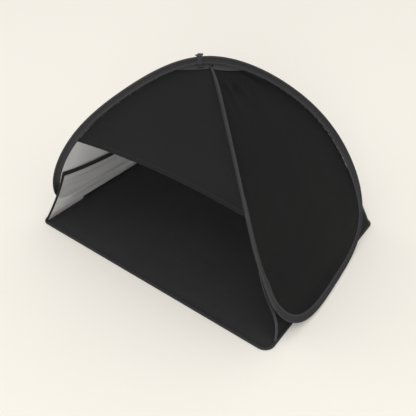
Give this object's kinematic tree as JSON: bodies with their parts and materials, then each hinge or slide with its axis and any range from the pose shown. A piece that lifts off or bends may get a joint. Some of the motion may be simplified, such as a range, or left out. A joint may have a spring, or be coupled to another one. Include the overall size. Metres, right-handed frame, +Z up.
{
  "type": "small pop-up beach head shade",
  "caption": "Small pop-up shade for the head: crossed spring hoops in fabric sleeves carry side panels, a short front visor and a full back panel over a floor sheet with low side walls.",
  "frame": {"origin": "centre of the floor sheet's underside, on the ground", "axes": "+Z up, +Y from the open front to the back, +X along the width"},
  "size_m": [0.7612, 0.53, 0.4595],
  "materials": {
    "canopy_cloth": "coated woven polyester, black outside",
    "floor_cloth": "black coated woven polyester",
    "wall_cloth": "light grey lining",
    "edge_tape": "black binding tape",
    "strap_webbing": "grey webbing",
    "knot_cord": "pale cord"
  },
  "bodies": {
    "root": {"sleeve_left_front_to_right_rear": "edge_tape", "sleeve_right_front": "edge_tape", "sleeve_left_rear": "edge_tape", "sleeve_left_bottom": "edge_tape", "sleeve_right_bottom": "edge_tape", "left_side_panel": "canopy_cloth", "right_side_panel": "canopy_cloth", "front_visor": "canopy_cloth", "front_visor_hem": "canopy_cloth", "back_panel": "canopy_cloth", "floor_sheet": "floor_cloth", "floor_tape_front": "edge_tape", "floor_tape_rear": "edge_tape", "floor_tape_left": "edge_tape", "floor_tape_right": "edge_tape", "left_side_wall": "wall_cloth", "left_side_wall_hem": "edge_tape", "left_side_wall_front_tape": "edge_tape", "left_side_wall_rear_tape": "edge_tape", "right_side_wall": "wall_cloth", "right_side_wall_hem": "edge_tape", "right_side_wall_front_tape": "edge_tape", "right_side_wall_rear_tape": "edge_tape", "crossing_strap": "strap_webbing", "crossing_knot": "knot_cord"}
  },
  "joints": []
}
